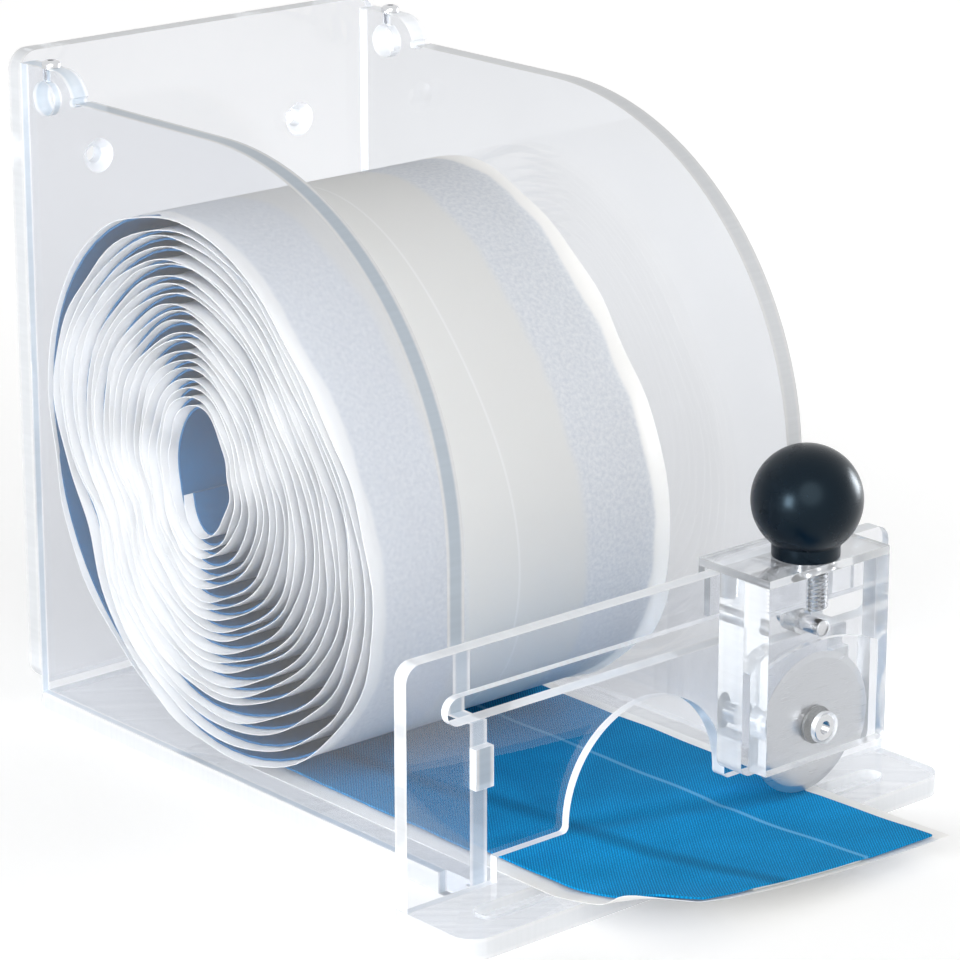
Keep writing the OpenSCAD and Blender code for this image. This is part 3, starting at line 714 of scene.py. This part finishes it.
def trim(u, y, left):
    """How far the slanted cut takes the end's left corner back."""
    near_end = smooth(-y, STRIP_OUT - TRIM_LENGTH, STRIP_OUT) * (left == 0)
    return TRIM_SLOPE * np.clip(-TRIM_FROM - u, 0, None) * near_end


def lay_web(name, across, path, lift, thickness):
    """Builds a grid of the given columns on a path; lift gives x and height off the path."""
    line, out, left, run = path
    rows, columns = len(line) - 1, len(across) - 1
    bpy.ops.object.select_all(action="DESELECT")
    bpy.ops.mesh.primitive_grid_add(x_subdivisions=columns, y_subdivisions=rows, size=1)
    web = bpy.context.object
    flat = np.empty(3 * len(web.data.vertices))
    web.data.vertices.foreach_get("co", flat)
    flat = flat.reshape(-1, 3)
    column = np.round((flat[:, 0] + 0.5) * columns).astype(int)
    row = np.round((flat[:, 1] + 0.5) * rows).astype(int)
    u = across[column]
    x, off, rise = lift(u, line[row, 0], left[row], run[row])
    y = line[row, 0] + out[row, 0] * off + trim(u, line[row, 0], left[row])
    z = line[row, 1] + out[row, 1] * off + rise
    places = np.stack([x, y, z], 1) * MM + np.array(tray_zero)
    web.data.vertices.foreach_set("co", places.ravel())
    corner = np.empty(len(web.data.loops), dtype=np.int32)
    web.data.loops.foreach_get("vertex_index", corner)
    cloth_map = np.stack([u[corner], run[row][corner]], 1)
    web.data.uv_layers.active.data.foreach_set("uv", cloth_map.astype(np.float32).ravel())
    web.data.update()
    pick(web)
    wall = web.modifiers.new("thickness", "SOLIDIFY")
    wall.thickness = thickness * MM
    wall.offset = 0
    bpy.ops.object.modifier_apply(modifier=wall.name)
    bpy.ops.object.shade_smooth_by_angle(angle=math.radians(60))
    web.name = web.data.name = name
    print(name, "rows", rows, "columns", columns, "faces", len(web.data.polygons))
    return web


def sideways(left, run):
    """Place of the web's middle across the tray: straight in the strip, leaning left in the roll."""
    wander = WANDER * waves(run, [(205, 0.4), (83, 1.7), (131, 4.0)])
    return smooth(left, 0.02, 0.4) * (ROLL_X + wander)


# %% [markdown]
# ## Fabric
# The plaster is a blue cotton twill. In the strip it is pulled nearly flat: it steps down a little
# at both edges of the pad under it, and a soft fold runs across it from the plate to the blade.
# Its weave is drawn on the cloth's own map: fine diagonal ribs and slow changes of shade. A paler
# line along the pad's right edge is a painted highlight, and two soft darker bands are painted shade
# in the folds. Behind the plate the strip is drawn darker, as painted shade where less light reaches
# it, and in the roll a darker blue is partly the duller adhesive side and partly painted shade
# between the turns.

# %% Fabric web
FABRIC_T, ROLL_SKEW, LAST_SKEW = 0.5, 2.3, 1.2
PAD_STEP, FOLD_DEPTH, FOLD_WIDTH = 0.3, 0.35, 3.2


def fabric_lift(u, y, left, run):
    """Places of the fabric: shifted a little in the roll, stepped and folded in the strip."""
    last_turn = 1 - smooth(left, 0.5, 0.75)
    skew = -smooth(left, 0.0, 0.08) * (ROLL_SKEW + LAST_SKEW * last_turn)
    x = u + sideways(left, run) + skew
    in_strip = 1 - smooth(left, 0.0, 0.06)
    step = -PAD_STEP * smooth(np.abs(u + 1.0), 16.5, 20.5)
    fold = y - (5.0 - 0.33 * (u + 14.0))
    fold = -FOLD_DEPTH * np.exp(-(fold / FOLD_WIDTH) ** 2) * smooth(u, -22, -10)
    ripple = 0.1 * np.sin(y / 7.0 + u / 16.0) + 0.07 * np.sin(y / 3.6 - u / 9.0 + 1.0)
    rise = in_strip * (curl(x, y) + step + fold + ripple)
    return x, 0.0 * u, rise


fabric_across = np.linspace(-40, 40, 33)
fabric_path = web_path(64, 90, -STRIP_OUT)
fabric = lay_web("fabric_web", fabric_across, fabric_path, fabric_lift, FABRIC_T)

# %% Blue twill
RIB_DARK, RIB_LIGHT = (0.001, 0.16, 0.40, 1), (0.004, 0.335, 0.69, 1)
# The paler blue is a painted highlight on the pad's edge; the wound blue is darker, partly the adhesive
# side and partly painted shade between the turns
HIGHLIGHT_BLUE, WOUND_SHADE_BLUE = (0.2, 0.55, 0.85, 1), (0.012, 0.1, 0.245, 1)
CREASE_AT, BEHIND_PLATE = 18.3, 0.66

twill, tree, shader = new_material("blue cotton twill")
cloth = tree.nodes.new("ShaderNodeUVMap")
part = chain(tree, "ShaderNodeSeparateXYZ", in0=cloth.outputs[0])
tilt = chain(tree, "ShaderNodeMapping", in0=cloth.outputs[0], in2=(0, 0, math.radians(38)))
ribs = chain(tree, "ShaderNodeTexWave", in0=tilt.outputs[0], in1=0.52, in2=0.6, in3=2.0, in4=1.2)
yarn = chain(tree, "ShaderNodeTexNoise", in0=cloth.outputs[0], in2=2.6, in3=2.0)
slow = chain(tree, "ShaderNodeTexNoise", in0=cloth.outputs[0], in2=0.06, in3=3.0)
rib_shade = blend(tree, ribs.outputs["Fac"], RIB_DARK, RIB_LIGHT)
fleck = chain(tree, "ShaderNodeMapRange", in0=yarn.outputs[0], in1=0.3, in2=0.75, in3=0.7, in4=1.4)
drift = chain(tree, "ShaderNodeMapRange", in0=slow.outputs[0], in1=0.3, in2=0.7, in3=0.88, in4=1.08)
both = chain(tree, "ShaderNodeMath", operation="MULTIPLY", in0=fleck.outputs[0], in1=drift.outputs[0])
cotton = scaled(tree, rib_shade, both.outputs[0])
# Painted highlight: a paler line along the pad's right edge, where the raised pad lifts the fabric into
# the light
from_crease = chain(tree, "ShaderNodeMath", operation="SUBTRACT", in0=part.outputs[0], in1=CREASE_AT)
from_crease = chain(tree, "ShaderNodeMath", operation="ABSOLUTE", in0=from_crease.outputs[0])
pad_edge_highlight = soft_range(tree, from_crease.outputs[0], 0.3, 1.0, 0.55, 0.0)
shade = blend(tree, pad_edge_highlight, cotton, HIGHLIGHT_BLUE)
# Painted shade: two soft darker bands where the cloth lies in shade along its folds, one running along the
# tape, the other slanting across it
for along, start, width, depth in [((1, 0.115, 0), 9.4, 4.6, 0.68), ((0.3265, 1, 0), -53.5, 7.0, 0.78)]:
    away = chain(tree, "ShaderNodeVectorMath", operation="DOT_PRODUCT", in0=cloth.outputs[0], in1=along)
    away = chain(tree, "ShaderNodeMath", operation="ADD", in0=away.outputs["Value"], in1=start)
    away = chain(tree, "ShaderNodeMath", operation="ABSOLUTE", in0=away.outputs[0])
    shade = scaled(tree, shade, soft_range(tree, away.outputs[0], 0.3, width, depth, 1.0))
# Painted shade: the strip is darker where it lies behind the plate and under the roll
shade = scaled(tree, shade, soft_range(tree, part.outputs[1], 40.0, 80.0, 1.0, BEHIND_PLATE))
# Painted shade in the roll: the fabric turns a darker blue, partly its duller adhesive side and partly
# shade between the turns
wound_shade = chain(tree, "ShaderNodeMapRange", in0=part.outputs[1], in1=150.0, in2=200.0, in3=0.0, in4=0.8)
shade = blend(tree, wound_shade.outputs[0], shade, WOUND_SHADE_BLUE)
tree.links.new(shade, shader.inputs["Base Color"])
shader.inputs["Roughness"].default_value = 0.85
shader.inputs["Specular IOR Level"].default_value = 0.12
bump = chain(tree, "ShaderNodeBump", in0=0.35, in1=0.00012, in2=ribs.outputs["Fac"])
tree.links.new(bump.outputs[0], shader.inputs["Normal"])
dress(fabric, twill)
print("twill on", fabric.name)
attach(fabric, "tray")
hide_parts("fabric_roll", "fabric_strip")

# %% [markdown]
# ## Paper liner
# A silicone paper backs the tape and stands past it on both sides. Its free rims wave and flare,
# because nothing holds them, and they make the white pleats on the roll's face. The paper is thin enough
# for the blue to show through as a cool grey, except over the white pad in the middle.

# %% Paper web
PAPER_T, STRIP_OFF, ROLL_CLOSER = 0.16, 1.025, 0.575
RIM_WAVE, RIM_CREEP, LEFT_FLARE, RIGHT_FLARE = 0.75, 0.35, 0.4, 1.2


def paper_lift(u, y, left, run):
    """Places of the paper: flat under the fabric, with waving and flaring rims in the roll."""
    x = u + sideways(left, run)
    in_roll = smooth(left, 0.0, 0.3)
    off = STRIP_OFF - ROLL_CLOSER * in_roll
    free = smooth(np.abs(u), 40.6, 45)
    side = np.where(u < 0, 0.0, 2.1)
    round_it = 2 * np.pi * left
    wavy = waves(round_it + side, [(2.1, 0.0), (1.26, 2.0), (0.79, 4.4)])
    wavy = wavy + 0.8 * waves(run, [(43.0, 1.0), (27.0, 3.0), (71.0, 0.5)])
    flare = np.where(u < 0, LEFT_FLARE, RIGHT_FLARE) * smooth(left, 0.4, 0.9)
    off = off + in_roll * free * (RIM_WAVE * wavy + flare)
    edge = RIM_CREEP * free * np.sign(u) * waves(run + 20 * side, [(23.0, 1.0), (57.0, 3.0)])
    rise = (1 - smooth(left, 0.0, 0.06)) * curl(x, y)
    return x + edge * in_roll, off, rise


right_half = [8, 17, 26, 34, 39, 40.8, 42.3, 43.6, 44.75]
paper_across = np.array([-u for u in reversed(right_half)] + [0] + right_half)
paper_path = web_path(104, 60, -STRIP_OUT - 1.2)
paper = lay_web("liner_web", paper_across, paper_path, paper_lift, PAPER_T)

# %% White paper
PAPER_GREY, PAPER_PALE = (0.73, 0.755, 0.795, 1), (0.85, 0.865, 0.885, 1)
OVER_PAD, RIM_WHITE = (0.83, 0.83, 0.82, 1), (0.945, 0.94, 0.93, 1)
SLIT_WHITE, SLIT_AT = (0.9, 0.9, 0.9, 1), 2.6

liner, tree, shader = new_material("silicone paper")
cloth = tree.nodes.new("ShaderNodeUVMap")
part = chain(tree, "ShaderNodeSeparateXYZ", in0=cloth.outputs[0])
wobble = chain(tree, "ShaderNodeTexNoise", in0=cloth.outputs[0], in2=0.05, in3=2.0)
wobble = chain(tree, "ShaderNodeMapRange", in0=wobble.outputs[0], in3=-2.0, in4=2.0)
across = chain(tree, "ShaderNodeMath", operation="ADD", in0=part.outputs[0], in1=wobble.outputs[0])
across = chain(tree, "ShaderNodeMath", operation="ABSOLUTE", in0=across.outputs[0])
over_pad = soft_range(tree, across.outputs[0], 17.0, 20.5, 1.0, 0.0)
on_rim = soft_range(tree, across.outputs[0], 39.6, 41.2)
mottle = chain(tree, "ShaderNodeTexNoise", in0=cloth.outputs[0], in2=0.9, in3=5.0, in4=0.65)
clouds = chain(tree, "ShaderNodeMapRange", in0=mottle.outputs[0], in1=0.36, in2=0.64)
pulp = blend(tree, clouds.outputs[0], PAPER_GREY, PAPER_PALE)
pulp = blend(tree, over_pad, pulp, OVER_PAD)
pulp = blend(tree, on_rim, pulp, RIM_WHITE)
from_slit = chain(tree, "ShaderNodeMath", operation="ADD", in0=part.outputs[0], in1=SLIT_AT)
from_slit = chain(tree, "ShaderNodeMath", operation="ABSOLUTE", in0=from_slit.outputs[0])
slit = soft_range(tree, from_slit.outputs[0], 0.15, 0.45, 0.8, 0.0)
pulp = blend(tree, slit, pulp, SLIT_WHITE)
tree.links.new(pulp, shader.inputs["Base Color"])
shader.inputs["Roughness"].default_value = 0.5
shader.inputs["Specular IOR Level"].default_value = 0.35
bump = chain(tree, "ShaderNodeBump", in0=0.1, in1=0.0002, in2=mottle.outputs[0])
tree.links.new(bump.outputs[0], shader.inputs["Normal"])
lit_through = chain(tree, "ShaderNodeBsdfTranslucent", in0=pulp)
thin = chain(tree, "ShaderNodeMixShader", in0=0.38, in1=shader.outputs[0], in2=lit_through.outputs[0])
tree.links.new(thin.outputs[0], tree.nodes["Material Output"].inputs["Surface"])
dress(paper, liner)
print("paper on", paper.name)
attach(paper, "tray")
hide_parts("liner_roll", "liner_strip")

# %% [markdown]
# ## Pad under the strip
# Under the fabric lies a strip of white gauze. Only its cut end shows, but it holds the fabric up,
# so it is laid on the same path, as a narrower web in the strip alone.

# %% Pad
PAD_T, PAD_OFF, PAD_RIPPLE = 0.35, 0.6, 0.03


def pad_lift(u, y, left, run):
    """Places of the pad, between fabric and paper; it takes what the other two take."""
    return u, PAD_OFF + 0.0 * u, curl(u, y) + PAD_RIPPLE * np.sin(y / 2.3 + u)


pad_line, pad_out, pad_left, pad_run = web_path(24, 70, -STRIP_OUT + 0.3)
flat_part = slice(len(pad_line) - 66, None)
pad_path = (pad_line[flat_part], pad_out[flat_part], pad_left[flat_part], pad_run[flat_part])
pad = lay_web("pad_web", np.linspace(-17, 17, 15), pad_path, pad_lift, PAD_T)
gauze, tree, shader = new_material("white gauze")
cloth = tree.nodes.new("ShaderNodeUVMap")
mesh_x = chain(tree, "ShaderNodeTexWave", in0=cloth.outputs[0], in1=0.4, in2=0.8)
fluff = chain(tree, "ShaderNodeTexNoise", in0=cloth.outputs[0], in2=1.5, in3=4.0)
knit = chain(tree, "ShaderNodeMath", operation="MULTIPLY", in0=mesh_x.outputs["Fac"], in1=fluff.outputs[0])
shade = blend(tree, knit.outputs[0], (0.82, 0.82, 0.81, 1), (0.9, 0.9, 0.89, 1))
tree.links.new(shade, shader.inputs["Base Color"])
shader.inputs["Roughness"].default_value = 0.95
bump = chain(tree, "ShaderNodeBump", in0=0.4, in1=0.0002, in2=knit.outputs[0])
tree.links.new(bump.outputs[0], shader.inputs["Normal"])
dress(pad, gauze)
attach(pad, "tray")
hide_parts("pad_strip")

# %% Update the view layer
bpy.context.view_layer.update()
